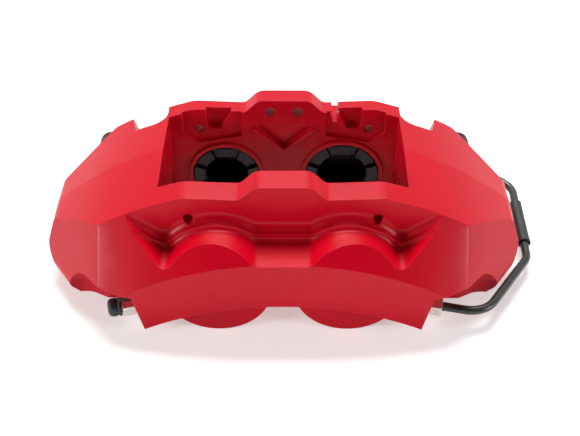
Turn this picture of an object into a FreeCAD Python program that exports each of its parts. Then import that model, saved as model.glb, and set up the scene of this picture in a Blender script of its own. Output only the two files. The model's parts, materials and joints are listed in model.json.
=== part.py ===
import FreeCAD, Part
import math
import os

from FreeCAD import Vector

# A fixed four-piston brake caliper in two bolted halves, for a road car's ventilated disc.
# It is drawn about the disc: X runs along the caliper, Y across the disc (+Y towards the
# wheel hub's inboard side) and Z outwards from the disc's axle. Millimetres throughout.
# The last section moves everything, so that the written pieces have their origin midway
# between the two mounting holes, on the mounting face.

# ---------------------------------------------------------------- driving dimensions

# the disc that the caliper straddles, and the room around it
DISC_RADIUS = 172.5
DISC_THICKNESS = 32.0
DISC_RIM_CLEARANCE = 3.5
DISC_SIDE_CLEARANCE = 4.0

# the pad window and the two inner walls
WINDOW_LENGTH = 132.0
WALL_GAP = 64.0

# pistons: a small one at the leading end and a large one at the trailing end of each half
SMALL_PISTON_DIAMETER = 40.0
LARGE_PISTON_DIAMETER = 44.0
PISTON_SPACING = 69.0
PISTON_AXIS_HEIGHT = 147.5
PISTON_WALL = 7.5
PISTON_CUP_DEPTH = 22.0
PISTON_FLOOR_GAP = 2.2
PISTON_EDGE = 0.8
NOSE_SLOTS = 8
NOSE_SLOT_WIDTH = 3.2
NOSE_SLOT_DEPTH = 2.4
BORE_DEPTH = 30.0
BORE_END_WALL = 6.0
BORE_SIDE_WALL = 6.5
RUNNING_CLEARANCE = 0.04

# seals in each bore, measured inwards from the inner wall
LIP_HEIGHT = 1.2
LIP_WIDTH = 2.45
WIPER_START = 1.6
WIPER_WIDTH = 2.4
WIPER_DEPTH = 1.5
SEAL_START = 7.5
SEAL_WIDTH = 3.4
SEAL_DEPTH = 3.0
SEAL_SLACK = 0.03
SEAL_END_SLACK = 0.05

# the outline seen from the front: heights from the disc's axle at the parting plane
CREST_HEIGHT = 200.8
CREST_HALF_WIDTH = 14.5
SHOULDER_RUN = 8.0
RIM_HEIGHT = 192.6
RIM_RISE = 1.3
RIM_END_RUN = 14.0
WING_LENGTH = 67.0
WING_KNEE_RUN = 23.9
WING_KNEE_DROP = 11.8
WING_KNEE_RADIUS = 160.0
END_TOP_HEIGHT = 154.4
END_TOP_SETBACK = 4.5
END_HEIGHT = 140.5
WING_FLOOR_HEIGHT = 126.5
WING_FLOOR_SETBACK = 10.0
SKIRT_ARC_RADIUS = 167.5
SKIRT_ARC_CENTRE = -27.5
TOP_FALL = 0.04

# the section across the disc
RIM_WIDTH_OUTBOARD = 14.0
RIM_WIDTH_INBOARD = 12.0
RIM_EDGE_RADIUS = 199.2
FACE_SLOPE = 0.89
BAND_STAND = 4.0
BAND_THICKNESS = 6.0
INBOARD_FACE_SETBACK = 8.0

# the logo-free band on the outboard face
BAND_TOP_HALF = 80.7
BAND_TOP_HEIGHT = 152.0
BAND_BOTTOM_HALF = 74.3
BAND_BOTTOM_HEIGHT = 122.0

# corner facets, where each half is cut away towards its ends
FACET_POINT = (96.5, 46.0, 175.5)
FACET_NORMAL = (0.749, 0.524, 0.405)
FACET_FLOOR_HEIGHT = 132.5
FACET_SOFTNESS = 6.0
UNDERCUT_SOFTNESS = 6.0
UNDERCUT_NORMAL = (0.60, 0.42, -0.68)
GROOVE_RADIUS = 16.0
GROOVE_INSET = (31.0, 6.0)
GROOVE_HEIGHT = 132.0
GROOVE_DIRECTION = (0.87, -0.49, 0.04)
GROOVE_REACH = 8.5

# the two-step recess between the rim and the piston bosses
STEP_WALL_INSET = 5.2
UPPER_BOSS_MARGIN = 3.0
LOWER_BOSS_MARGIN = 0.5
UPPER_FLOOR_HEIGHT = 172.5
LOWER_FLOOR_HEIGHT = 168.5
UPPER_RAMP = (74.4, 173.7, 0.71)
LOWER_RAMP = (74.0, 171.4, 0.745)

# pad pins and the small holes in the crest
PIN_HOLE_RADIUS = 2.7
PIN_HOLE_X = 49.4
PIN_HOLE_HEIGHT = 178.9
CREST_HOLE_RADIUS = 3.2
CREST_HOLE_X = 8.0
CREST_HOLE_HEIGHT = 191.6

# bridge bolts, through the inboard half and into the outboard one
BOLT_RADIUS = 5.0
BOLT_HEAD_RADIUS = 8.0
BOLT_HEAD_HEIGHT = 10.0
BOLT_SOCKET_FLATS = 8.0
BOLT_SOCKET_DEPTH = 5.0
BOLT_HOLE_CLEARANCE = 0.3
THREAD_FIT = 0.05
INNER_BOLT = {"x_run": 38.0, "radial": 11.0, "seat_y": 42.0, "tip_y": -23.0}
OUTER_BOLT = {"x_run": 56.0, "radial": 9.2, "seat_y": 26.0, "tip_y": -19.0}
SEAT_MARGIN = 1.2
WASHER_THICKNESS = 1.6

# mounting: two upright bolts through ears of the inboard half
MOUNT_HOLE_RADIUS = 6.2
MOUNT_SPACING = 155.5
MOUNT_OFFSET = 41.0
MOUNT_FACE_HEIGHT = 122.5
MOUNT_SEAT_HEIGHT = 154.5
MOUNT_EAR_RADIUS = 13.0
MOUNT_POCKET_HALF = 10.75
MOUNT_POCKET_FRONT = 12.5

# hydraulic fittings: bleed screws and the pipe that joins the two halves
PORT_RADIUS = 5.0
PORT_DEPTH = 12.0
PORT_BOSS_RADIUS = 7.0
PORT_SEAT_RUN = 9.0
PORT_INSET = 12.0
PORT_HEIGHT = 131.0
PORT_TILT = 13.0
DRILLING_RADIUS = 1.75
LINK_HEIGHT = 152.0
HEX_ACROSS_FLATS = 10.0
INLET_HEIGHT = 152.0
INLET_DEPTH = 11.0
INLET_BOSS_RADIUS = 9.5
INLET_BOSS_STAND = 3.0
FITTING_SCOOP_RADIUS = 8.0
FITTING_SCOOP_LENGTH = 29.0
FITTING_NECK_LENGTH = 5.0
NUT_HEX_LENGTH = 6.0
BLEED_HEX_LENGTH = 7.0
BLEED_NIPPLE_LENGTH = 6.6
BLEED_NIPPLE_RADIUS = 3.4
BLEED_BARB_RADIUS = 3.9
BLEED_HOLE_RADIUS = 1.0
CAP_RADIUS = 5.2
CAP_END_WALL = 1.2
CAP_CLEARANCE = 0.05

# the pipe from the outboard half round the end of the caliper to the inboard one
PIPE_RADIUS = 2.4
PIPE_BORE_RADIUS = 1.6
PIPE_INSERTION = 6.0
PIPE_CLEARANCE = 0.05
PIPE_STUB = 34.0
PIPE_STUB_BEND = 16.0
PIPE_TURNS = [
    (139.3, -21.0, 128.0, 14.0),
    (141.3, 43.5, 128.5, 14.0),
]
SLEEVE_WALL = 1.2
SLEEVE_FROM_Y = -8.8
SLEEVE_TO_Y = 26.4

# ---------------------------------------------------------------- sizes worked out from them

SLOT_RADIUS = DISC_RADIUS + DISC_RIM_CLEARANCE
SLOT_HALF = DISC_THICKNESS / 2 + DISC_SIDE_CLEARANCE
WINDOW_HALF = WINDOW_LENGTH / 2
WALL_Y = WALL_GAP / 2
BODY_HALF = WINDOW_HALF + WING_LENGTH
PISTON_X = PISTON_SPACING / 2
SMALL_RADIUS = SMALL_PISTON_DIAMETER / 2
LARGE_RADIUS = LARGE_PISTON_DIAMETER / 2
NOSE_Y = WALL_Y - LIP_HEIGHT
BOSS_RADIUS = LARGE_RADIUS + BORE_SIDE_WALL
BOSS_END_Y = WALL_Y + BORE_DEPTH + BORE_END_WALL
BAND_Y = BOSS_END_Y + BAND_STAND
PORT_Y = BAND_Y - PORT_INSET
PORT_SEAT_X = WINDOW_HALF + PORT_SEAT_RUN
MOUNT_X = MOUNT_SPACING / 2
FAR = 400.0


# ---------------------------------------------------------------- shape helpers

def point_xz(x, z, y=0.0):
    return Vector(x, y, z)


def rounded_edges(corners):
    """Lines and tangent arcs through an open run of (x, z, radius) corners in the XZ plane."""
    edges = []
    start = point_xz(*corners[0][:2])
    for before, corner, after in zip(corners, corners[1:], corners[2:]):
        here = point_xz(*corner[:2])
        back = (point_xz(*before[:2]) - here).normalize()
        ahead = (point_xz(*after[:2]) - here).normalize()
        half_angle = back.getAngle(ahead) / 2
        reach = corner[2] / math.tan(half_angle)
        first = here + back * reach
        last = here + ahead * reach
        bisector = (back + ahead).normalize()
        middle = here + bisector * (corner[2] / math.sin(half_angle) - corner[2])
        if corner[2] > 0:
            edges.append(Part.LineSegment(start, first).toShape())
            edges.append(Part.Arc(first, middle, last).toShape())
            start = last
        else:
            edges.append(Part.LineSegment(start, here).toShape())
            start = here
    edges.append(Part.LineSegment(start, point_xz(*corners[-1][:2])).toShape())
    return edges


def prism(corners, y_from, y_to):
    """A straight bar along Y whose XZ outline has the (x, z, radius) corners."""
    wire = Part.Wire(rounded_edges(corners + [corners[0]]))
    wire.translate(Vector(0, y_from, 0))
    return Part.Face(wire).extrude(Vector(0, y_to - y_from, 0))


def box(x_from, x_to, y_from, y_to, z_from, z_to):
    corner = Vector(x_from, y_from, z_from)
    return Part.makeBox(x_to - x_from, y_to - y_from, z_to - z_from, corner)


def rod_x(radius, x_from, x_to, y, z):
    side = 1 if x_to > x_from else -1
    return Part.makeCylinder(radius, abs(x_to - x_from), Vector(x_from, y, z), Vector(side, 0, 0))


def rod_y(radius, x, z, y_from, y_to):
    side = 1 if y_to > y_from else -1
    return Part.makeCylinder(radius, abs(y_to - y_from), Vector(x, y_from, z), Vector(0, side, 0))


def rod_z(radius, x, y, z_from, z_to):
    return Part.makeCylinder(radius, z_to - z_from, Vector(x, y, z_from), Vector(0, 0, 1))


def beyond_plane(point, normal):
    """A large block whose one face lies on the plane, on the side the normal points to."""
    block = Part.makeBox(FAR, FAR, FAR, Vector(-FAR / 2, -FAR / 2, 0))
    turn = FreeCAD.Rotation(Vector(0, 0, 1), Vector(*normal))
    block.Placement = FreeCAD.Placement(Vector(*point), turn)
    return block


def turned(profile, place, direction):
    """A solid of revolution: (along, radius) corners about a line from place in direction."""
    corners = [Vector(along, radius, 0) for along, radius in profile]
    wire = Part.makePolygon(corners + [corners[0]])
    solid = Part.Face(wire).revolve(Vector(0, 0, 0), Vector(1, 0, 0), 360)
    turn = FreeCAD.Rotation(Vector(1, 0, 0), direction)
    solid.Placement = FreeCAD.Placement(place, turn)
    return solid


def hexagon_bar(across_flats, start, length, place, direction):
    """A hexagon bar along a line from place in direction, from start on, with one corner upwards."""
    radius = across_flats / math.sqrt(3)
    corners = []
    for step in range(6):
        angle = math.radians(60 * step + 30)
        corners.append(Vector(start, radius * math.cos(angle), radius * math.sin(angle)))
    bar = Part.Face(Part.makePolygon(corners + [corners[0]])).extrude(Vector(length, 0, 0))
    bar.Placement = FreeCAD.Placement(place, FreeCAD.Rotation(Vector(1, 0, 0), direction))
    return bar


def both_sides(shape):
    """The shape and its mirror image across the caliper's middle."""
    return [shape, shape.mirror(Vector(0, 0, 0), Vector(1, 0, 0))]


def middle_of(edge):
    return edge.valueAt((edge.FirstParameter + edge.LastParameter) / 2)


def edges_where(shape, test):
    return [edge for edge in shape.Edges if test(edge)]


# ---------------------------------------------------------------- the two halves
# A half is drawn with its outer face towards +Y. The outboard one is turned about Z later.

def front_outline():
    """The half's outline along the parting plane, closed along the floor and the skirt's arc."""
    knee_x = WINDOW_HALF + WING_KNEE_RUN
    shoulder_height = RIM_HEIGHT + RIM_RISE
    right = [
        (CREST_HALF_WIDTH, CREST_HEIGHT, 8.0),
        (CREST_HALF_WIDTH + SHOULDER_RUN, RIM_HEIGHT, 5.0),
        (WINDOW_HALF - RIM_END_RUN, shoulder_height, 20.0),
        (knee_x, shoulder_height - WING_KNEE_DROP, WING_KNEE_RADIUS),
        (BODY_HALF - END_TOP_SETBACK, END_TOP_HEIGHT, 7.0),
        (BODY_HALF, END_HEIGHT, 6.0),
        (BODY_HALF - WING_FLOOR_SETBACK, WING_FLOOR_HEIGHT, 3.0),
    ]
    rise = WING_FLOOR_HEIGHT - SKIRT_ARC_CENTRE
    arc_x = math.sqrt(SKIRT_ARC_RADIUS ** 2 - rise ** 2)
    left = [(-x, z, radius) for x, z, radius in reversed(right)]
    run = [(-arc_x, WING_FLOOR_HEIGHT, 0.0)] + left + right + [(arc_x, WING_FLOOR_HEIGHT, 0.0)]
    arc_top = point_xz(0, SKIRT_ARC_CENTRE + SKIRT_ARC_RADIUS)
    arc = Part.Arc(point_xz(arc_x, WING_FLOOR_HEIGHT), arc_top, point_xz(-arc_x, WING_FLOOR_HEIGHT))
    return Part.Wire(rounded_edges(run) + [arc.toShape()])


def face_y(radius, rim_y):
    """How far out the sloping outer face lies at a distance from the disc's axle."""
    return rim_y + (RIM_EDGE_RADIUS - radius) * FACE_SLOPE


def facet_point(z):
    """A point of the corner facet at a height, straight out from its reference point."""
    x, y, z_ref = FACET_POINT
    return (x + (z_ref - z) * FACET_NORMAL[2] / FACET_NORMAL[0], y, z)


def sloping_wheel(rim_y, outer_y):
    """All that lies behind the outer face, which slopes like a cone about the disc's axle."""
    slope_start = RIM_EDGE_RADIUS - (outer_y - rim_y) / FACE_SLOPE
    section = [
        Vector(50, -1, 0),
        Vector(50, outer_y, 0),
        Vector(slope_start, outer_y, 0),
        Vector(RIM_EDGE_RADIUS, rim_y, 0),
        Vector(FAR, rim_y, 0),
        Vector(FAR, -1, 0),
    ]
    wheel = Part.Face(Part.makePolygon(section + [section[0]]))
    return wheel.revolve(Vector(0, 0, 0), Vector(0, 1, 0), 360)


def block_half(rim_y, outer_y):
    """The half's outer shape: sloping face, falling top and the facets at its corners."""
    outline = Part.Face(front_outline())
    block = outline.extrude(Vector(0, outer_y, -TOP_FALL * outer_y))
    floor_cut = box(-FAR, FAR, -1, FAR, 0, WING_FLOOR_HEIGHT)
    skirt_core = rod_y(SKIRT_ARC_RADIUS, 0, SKIRT_ARC_CENTRE, -1, FAR)
    block = block.common(sloping_wheel(rim_y, outer_y))
    facet = beyond_plane(FACET_POINT, FACET_NORMAL)
    undercut_point = facet_point(FACET_FLOOR_HEIGHT)
    undercut = beyond_plane(undercut_point, UNDERCUT_NORMAL)
    cutters = both_sides(facet) + both_sides(undercut) + [floor_cut, skirt_core]
    block = block.cut(cutters)

    def meets_face_and_facet(edge):
        place = middle_of(edge)
        offset = Vector(abs(place.x), place.y, place.z) - Vector(*FACET_POINT)
        on_facet = abs(offset.dot(Vector(*FACET_NORMAL))) < 0.05
        radius = math.hypot(place.x, place.z)
        on_face = abs(place.y - face_y(radius, rim_y)) < 0.05 and place.y > rim_y + 1
        return on_facet and on_face

    block = block.makeFillet(FACET_SOFTNESS, edges_where(block, meets_face_and_facet))

    def meets_facet_and_undercut(edge):
        place = middle_of(edge)
        from_facet = Vector(abs(place.x), place.y, place.z) - Vector(*FACET_POINT)
        from_undercut = Vector(abs(place.x), place.y, place.z) - Vector(*undercut_point)
        on_facet = abs(from_facet.dot(Vector(*FACET_NORMAL))) < 0.05
        return on_facet and abs(from_undercut.dot(Vector(*UNDERCUT_NORMAL))) < 0.05

    return block.makeFillet(UNDERCUT_SOFTNESS, edges_where(block, meets_facet_and_undercut))


def recess_step(back_y, floor_height, ramp, boss_radius, valley, foot):
    """One step of the recess: all that lies above the bosses, the floor and the two ramps."""
    ramp_x, ramp_z, slope = ramp
    far_x = BODY_HALF
    ramp_end = ramp_z + (far_x - ramp_x) * slope
    low = PISTON_AXIS_HEIGHT
    low_x = ramp_x - (ramp_z - low) / slope
    right = [(PISTON_X, floor_height, 0), (PISTON_X, low, 0), (low_x, low, 0), (far_x, ramp_end, 0)]
    left = [(-x, z, radius) for x, z, radius in reversed(right)]
    corners = left + right + [(far_x, FAR, 0), (-far_x, FAR, 0)]
    tool = prism(corners, back_y, FAR / 2)
    for x in (-PISTON_X, PISTON_X):
        tool = tool.cut(rod_y(boss_radius, x, PISTON_AXIS_HEIGHT, back_y - 1, FAR))

    def runs_along_y(edge):
        place = middle_of(edge)
        straight = abs(abs(edge.tangentAt(edge.FirstParameter).y) - 1) < 1e-6
        from_boss = math.hypot(abs(place.x) - PISTON_X, place.z - PISTON_AXIS_HEIGHT)
        return straight and abs(from_boss - boss_radius) < 0.01 and place.z > PISTON_AXIS_HEIGHT + 1

    tool = tool.makeFillet(valley, edges_where(tool, runs_along_y))

    def is_foot(edge):
        place = middle_of(edge)
        at_back = abs(place.y - back_y) < 1e-4
        inner = abs(place.x) < far_x - 0.1 and place.z < FAR - 0.1
        return at_back and inner

    return tool.makeFillet(foot, edges_where(tool, is_foot))


def bore_cut(x, piston_radius):
    """A piston bore with its wiper and seal grooves, open towards the disc."""
    radius = piston_radius + RUNNING_CLEARANCE
    end_y = WALL_Y + BORE_DEPTH
    profile = [
        (NOSE_Y - 1, 0),
        (NOSE_Y - 1, radius),
        (WALL_Y + WIPER_START, radius),
        (WALL_Y + WIPER_START, radius + WIPER_DEPTH),
        (WALL_Y + WIPER_START + WIPER_WIDTH, radius + WIPER_DEPTH),
        (WALL_Y + WIPER_START + WIPER_WIDTH, radius),
        (WALL_Y + SEAL_START, radius),
        (WALL_Y + SEAL_START, radius + SEAL_DEPTH),
        (WALL_Y + SEAL_START + SEAL_WIDTH, radius + SEAL_DEPTH),
        (WALL_Y + SEAL_START + SEAL_WIDTH, radius),
        (end_y, radius),
        (end_y, 0),
    ]
    return turned(profile, Vector(x, 0, PISTON_AXIS_HEIGHT), Vector(0, 1, 0))


def bore_lips(bores):
    """The thin raised ring round each bore's mouth."""
    lips = []
    for x, piston_radius in bores:
        radius = piston_radius + RUNNING_CLEARANCE + LIP_WIDTH
        lips.append(rod_y(radius, x, PISTON_AXIS_HEIGHT, NOSE_Y, WALL_Y + 1))
    return lips


def wall_details(half):
    """The V rib with its hollow on the inner wall, the shelves and slots, and one cable notch."""
    rib_top = PIN_HOLE_HEIGHT + 1.8
    rib_foot = rib_top - 17.9
    hollow_foot = rib_foot + 3.6
    rib = [(-18.4, rib_top, 0), (0, rib_foot, 1.5), (18.4, rib_top, 0), (16.6, rib_top, 0),
           (0, hollow_foot, 1.0), (-16.6, rib_top, 0)]
    half = half.fuse(prism(rib, WALL_Y - 1.6, WALL_Y + 1))
    hollow = [(-16.6, rib_top, 0), (0, hollow_foot, 1.0), (16.6, rib_top, 0), (15.1, rib_top + 1.8, 0),
              (-15.1, rib_top + 1.8, 0)]
    cutters = [prism(hollow, WALL_Y - 5, WALL_Y + 2.2)]
    top = CREST_HEIGHT + 10
    shelf = [(24.3, top, 0), (24.3, 175.2, 0), (49.9, 170.7, 2.0), (58.5, 177.0, 3.0), (58.5, top, 0)]
    slot = [(45.0, top, 0), (44.8, 179.4, 2.5), (36.4, 179.4, 2.5), (30.2, 190.0, 0), (30.2, top, 0)]
    notch = [(27.4, top, 0), (27.4, 184.0, 1.0), (31.0, 184.0, 1.0), (31.0, top, 0)]
    cutters += both_sides(prism(shelf, WALL_Y - 5, WALL_Y + 1.8))
    cutters += both_sides(prism(slot, WALL_Y - 5, WALL_Y + 5.0))
    cutters.append(prism(notch, WALL_Y - 5, FAR))
    cutters.append(rod_y(2.8, 29.2, 188.6, WALL_Y - 5, FAR))
    return half.cut(cutters)


def fitting_side(half, side):
    """A threaded port with its boss, seat and scooped clearance at one end of the half."""
    boss = rod_x(PORT_BOSS_RADIUS, side * PISTON_X, side * PORT_SEAT_X, PORT_Y, PORT_HEIGHT)
    half = half.fuse(boss)
    scoop_end = PORT_SEAT_X + FITTING_SCOOP_LENGTH
    scoop = rod_x(FITTING_SCOOP_RADIUS, side * PORT_SEAT_X, side * scoop_end, PORT_Y, PORT_HEIGHT)
    well = box(PORT_SEAT_X, scoop_end, PORT_Y - FITTING_SCOOP_RADIUS, FAR, 0, PORT_HEIGHT)
    if side < 0:
        well = well.mirror(Vector(0, 0, 0), Vector(1, 0, 0))
    return half.cut([scoop, well])


def port_place(end, side):
    """The middle of a port's seat, at one end of X and on one side of the disc."""
    return Vector(end * PORT_SEAT_X, side * PORT_Y, PORT_HEIGHT)


def port_axis(end, side):
    """The way a fitting points: along X and a little towards its half's outer face."""
    tilt = math.radians(PORT_TILT)
    return Vector(end * math.cos(tilt), side * math.sin(tilt), 0)


def port_drilling(side, piston_radius):
    """The threaded hole and the drilling from it into the nearer bore."""
    inner_x = PORT_SEAT_X - PORT_DEPTH
    axis = port_axis(side, 1)
    thread = Part.makeCylinder(PORT_RADIUS, PORT_DEPTH + 2, port_place(side, 1) + axis * 2, axis * -1)
    drop = PISTON_AXIS_HEIGHT - PORT_HEIGHT
    bore_edge = PISTON_X + math.sqrt(piston_radius ** 2 - drop ** 2)
    drill = rod_x(DRILLING_RADIUS, side * (inner_x + 1), side * (bore_edge - 2), PORT_Y, PORT_HEIGHT)
    return [thread, drill]


def groove_cut():
    """The long scoop under the facet that clears the pipe and the bleed cap, with a ball end."""
    inset_x, inset_y = GROOVE_INSET
    start = Vector(BODY_HALF - inset_x, BAND_Y - inset_y, GROOVE_HEIGHT)
    along = Vector(*GROOVE_DIRECTION).normalize()
    end = start + along * GROOVE_REACH
    bar = Part.makeCylinder(GROOVE_RADIUS, 80 + GROOVE_REACH, start - along * 80, along)
    return bar.fuse(Part.makeSphere(GROOVE_RADIUS, end))


def make_half(rim_width, outer_y, small_side, inboard):
    """One half, with its small bore on the side of X that small_side gives."""
    rim_y = WALL_Y + rim_width
    bores = [(small_side * PISTON_X, SMALL_RADIUS), (-small_side * PISTON_X, LARGE_RADIUS)]
    half = block_half(rim_y, outer_y)
    wheel = sloping_wheel(rim_y, BOSS_END_Y)
    bosses = [rod_y(BOSS_RADIUS, x, PISTON_AXIS_HEIGHT, WALL_Y, BOSS_END_Y) for x, _ in bores]
    half = half.fuse([boss.common(wheel) for boss in bosses])
    half = half.cut(both_sides(groove_cut()))
    half = fitting_side(half, 1)
    half = fitting_side(half, -1)
    if not inboard:
        half = add_band(half, rim_y, outer_y)
    wall_y = rim_y + STEP_WALL_INSET
    upper_boss = BOSS_RADIUS + UPPER_BOSS_MARGIN
    lower_boss = BOSS_RADIUS + LOWER_BOSS_MARGIN
    upper = recess_step(rim_y - 0.3, UPPER_FLOOR_HEIGHT, UPPER_RAMP, upper_boss, 8.0, 5.0)
    lower = recess_step(wall_y, LOWER_FLOOR_HEIGHT, LOWER_RAMP, lower_boss, 5.0, 2.5)
    half = half.cut([upper, lower])
    window = box(-WINDOW_HALF, WINDOW_HALF, -1, WALL_Y, 0, FAR)
    slot = rod_y(SLOT_RADIUS, 0, 0, -1, SLOT_HALF)
    half = half.cut([window, slot])
    half = half.fuse(bore_lips(bores))
    if inboard:
        half = wall_details(half)
    cutters = [rod_x(DRILLING_RADIUS, -PISTON_X, PISTON_X, PORT_Y, LINK_HEIGHT)]
    for x, piston_radius in bores:
        cutters.append(bore_cut(x, piston_radius))
        cutters += port_drilling(math.copysign(1, x), piston_radius)
    pin_hole = rod_y(PIN_HOLE_RADIUS, PIN_HOLE_X, PIN_HOLE_HEIGHT, WALL_Y - 2, BAND_Y)
    cutters += both_sides(pin_hole)
    return half.cut(cutters)


def add_band(half, rim_y, outer_y):
    """The curved flat band: its lower corners hang below the wings, and its ends stand free."""
    back_y = outer_y - BAND_THICKNESS
    low = SKIRT_ARC_CENTRE + math.sqrt(SKIRT_ARC_RADIUS ** 2 - BAND_BOTTOM_HALF ** 2)
    arc_top = point_xz(0, SKIRT_ARC_CENTRE + SKIRT_ARC_RADIUS)
    corners = [point_xz(BAND_BOTTOM_HALF, low), point_xz(BAND_TOP_HALF, BAND_TOP_HEIGHT),
               point_xz(-BAND_TOP_HALF, BAND_TOP_HEIGHT), point_xz(-BAND_BOTTOM_HALF, low)]
    edges = [Part.LineSegment(a, b).toShape() for a, b in zip(corners, corners[1:])]
    edges.append(Part.Arc(corners[-1], arc_top, corners[0]).toShape())
    wire = Part.Wire(edges)
    wire.translate(Vector(0, back_y, 0))
    band = Part.Face(wire).extrude(Vector(0, BAND_THICKNESS, 0)).common(sloping_wheel(rim_y, outer_y))
    end_slope = (BAND_TOP_HALF - BAND_BOTTOM_HALF) / (BAND_TOP_HEIGHT - BAND_BOTTOM_HEIGHT)
    top = PORT_HEIGHT + FITTING_SCOOP_RADIUS
    top_x = BAND_BOTTOM_HALF + end_slope * (top - BAND_BOTTOM_HEIGHT)
    low_x = BAND_BOTTOM_HALF - end_slope * BAND_BOTTOM_HEIGHT
    end_gap = [(top_x, top, 0), (low_x, 0, 0), (BODY_HALF, 0, 0), (BODY_HALF, top, 0)]
    half = half.cut(both_sides(prism(end_gap, back_y, FAR)))
    return half.fuse(band)


def bolt_places():
    """Bridge bolt axes on the +X side: x, height, seat and tip."""
    places = []
    for bolt in (INNER_BOLT, OUTER_BOLT):
        x = WINDOW_HALF + bolt["x_run"]
        height = math.sqrt((SLOT_RADIUS + bolt["radial"]) ** 2 - x ** 2)
        places.append((x, height, bolt["seat_y"], bolt["tip_y"]))
    return places


def outboard_half():
    half = make_half(RIM_WIDTH_OUTBOARD, BAND_Y, 1, False)
    half.rotate(Vector(0, 0, 0), Vector(0, 0, 1), 180)
    cutters = []
    for x, height, seat_y, tip_y in bolt_places():
        cutters += both_sides(rod_y(BOLT_RADIUS + THREAD_FIT, x, height, 1, tip_y - 3))
    return half.cut(cutters)


def mount_pocket():
    """The open pocket above a mounting ear, where the bolt's head turns."""
    front = MOUNT_OFFSET - MOUNT_POCKET_FRONT
    left = MOUNT_X - MOUNT_POCKET_HALF
    right = MOUNT_X + MOUNT_POCKET_HALF
    rear = FAR / 2
    corners = [(left, rear, 0), (left, front, 8.0), (right - 3, front + 1, 1.5),
               (right, MOUNT_OFFSET + 2, 0), (right, rear, 0)]
    edges = rounded_edges(corners + [corners[0]])
    pocket = Part.Face(Part.Wire(edges)).extrude(Vector(0, FAR, 0))
    pocket.rotate(Vector(0, 0, 0), Vector(1, 0, 0), 90)
    pocket = pocket.mirror(Vector(0, 0, 0), Vector(0, 1, 0))
    pocket.translate(Vector(0, 0, MOUNT_SEAT_HEIGHT))
    return pocket


def inboard_half():
    outer_y = BAND_Y - INBOARD_FACE_SETBACK
    half = make_half(RIM_WIDTH_INBOARD, outer_y, -1, True)
    ears = both_sides(rod_z(MOUNT_EAR_RADIUS, MOUNT_X, MOUNT_OFFSET, MOUNT_FACE_HEIGHT, MOUNT_SEAT_HEIGHT))
    half = half.fuse(ears)
    inlet_end = outer_y + INLET_BOSS_STAND
    half = half.fuse(rod_y(INLET_BOSS_RADIUS, 0, INLET_HEIGHT, WALL_Y + BORE_DEPTH - 12, inlet_end))
    cutters = both_sides(mount_pocket())
    cutters += both_sides(rod_z(MOUNT_HOLE_RADIUS, MOUNT_X, MOUNT_OFFSET, 100, FAR))
    cutters.append(rod_y(PORT_RADIUS, 0, INLET_HEIGHT, inlet_end - INLET_DEPTH, FAR))
    cutters += both_sides(rod_y(CREST_HOLE_RADIUS, CREST_HOLE_X, CREST_HOLE_HEIGHT, 0, FAR))
    for x, height, seat_y, tip_y in bolt_places():
        shank = rod_y(BOLT_RADIUS + BOLT_HOLE_CLEARANCE, x, height, -1, FAR)
        seat = rod_y(BOLT_HEAD_RADIUS + SEAT_MARGIN, x, height, seat_y, FAR)
        cutters += both_sides(shank) + both_sides(seat)
    return half.cut(cutters)


# ---------------------------------------------------------------- pistons and their seals
# These are drawn in the inboard half, about an axis along +Y; mirror_to turns them round.

def mirror_to(side, shape):
    """The shape itself for the inboard side, +1, or its mirror image for the outboard side, -1."""
    if side > 0:
        return shape
    return shape.mirror(Vector(0, 0, 0), Vector(0, 1, 0))


def piston(side, x, radius):
    """A cup with a castellated nose, level with its bore's lip when it is pushed right back."""
    end_y = WALL_Y + BORE_DEPTH - PISTON_FLOOR_GAP
    cup_radius = radius - PISTON_WALL
    profile = [
        (NOSE_Y, cup_radius + PISTON_EDGE),
        (NOSE_Y, radius - PISTON_EDGE),
        (NOSE_Y + PISTON_EDGE, radius),
        (end_y - PISTON_EDGE, radius),
        (end_y, radius - PISTON_EDGE),
        (end_y, 0),
        (NOSE_Y + PISTON_CUP_DEPTH, 0),
        (NOSE_Y + PISTON_CUP_DEPTH, cup_radius),
        (NOSE_Y + PISTON_EDGE, cup_radius),
    ]
    body = turned(profile, Vector(x, 0, PISTON_AXIS_HEIGHT), Vector(0, 1, 0))
    half_width = NOSE_SLOT_WIDTH / 2
    slots = []
    for step in range(NOSE_SLOTS // 2):
        slot = box(-radius - 1, radius + 1, NOSE_Y - 1, NOSE_Y + NOSE_SLOT_DEPTH, -half_width, half_width)
        slot.rotate(Vector(0, 0, 0), Vector(0, 1, 0), 360 * (step + 0.5) / NOSE_SLOTS)
        slot.translate(Vector(x, 0, PISTON_AXIS_HEIGHT))
        slots.append(slot)
    return mirror_to(side, body.cut(slots))


def groove_ring(side, x, radius, start, width, depth):
    """A rubber ring that fills a groove of the bore, with its inner face on the piston."""
    first = WALL_Y + start + SEAL_END_SLACK
    last = WALL_Y + start + width - SEAL_END_SLACK
    inner = radius + SEAL_SLACK
    outer = radius + RUNNING_CLEARANCE + depth - SEAL_SLACK
    profile = [(first, inner), (first, outer), (last, outer), (last, inner)]
    return mirror_to(side, turned(profile, Vector(x, 0, PISTON_AXIS_HEIGHT), Vector(0, 1, 0)))


# ---------------------------------------------------------------- bridge bolts and washers

def bridge_bolt(x, height, seat_y, tip_y):
    """A socket-head bolt, put in from the inboard side."""
    head_y = seat_y + WASHER_THICKNESS
    end_y = head_y + BOLT_HEAD_HEIGHT
    profile = [
        (tip_y, 0),
        (tip_y, BOLT_RADIUS - 1),
        (tip_y + 1, BOLT_RADIUS),
        (head_y, BOLT_RADIUS),
        (head_y, BOLT_HEAD_RADIUS),
        (end_y - 1, BOLT_HEAD_RADIUS),
        (end_y, BOLT_HEAD_RADIUS - 1),
        (end_y, 0),
    ]
    place = Vector(x, 0, height)
    bolt = turned(profile, place, Vector(0, 1, 0))
    socket = hexagon_bar(BOLT_SOCKET_FLATS, end_y - BOLT_SOCKET_DEPTH, FAR, place, Vector(0, 1, 0))
    return bolt.cut(socket)


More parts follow.
